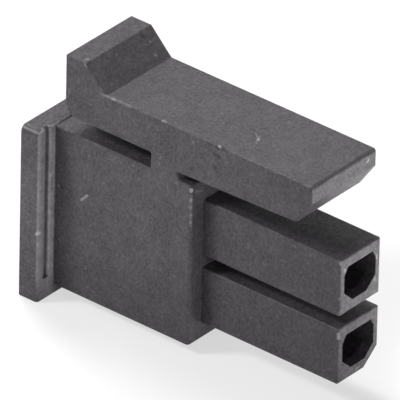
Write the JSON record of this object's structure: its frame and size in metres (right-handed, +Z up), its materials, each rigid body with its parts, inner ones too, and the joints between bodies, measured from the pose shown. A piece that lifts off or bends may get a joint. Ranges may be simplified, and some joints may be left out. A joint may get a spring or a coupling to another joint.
{
  "type": "rectangular connector receptacle",
  "caption": "Slim rectangular receptacle housing: stacked square mating tubes, a plain body, a rear flange with grip beads and a cantilever latch arm along the top.",
  "frame": {"origin": "middle of the width and of the length, at the underside of the rear flange", "axes": "+Z up through the latch arm, +Y from the mating face back to the wire side, +X to the right as seen from the mating face's front looking at +Y"},
  "size_m": [0.0058, 0.0142, 0.0108],
  "materials": {
    "nylon": "fine matte mould texture, near black"
  },
  "bodies": {
    "root": {"housing": "nylon"}
  },
  "joints": []
}
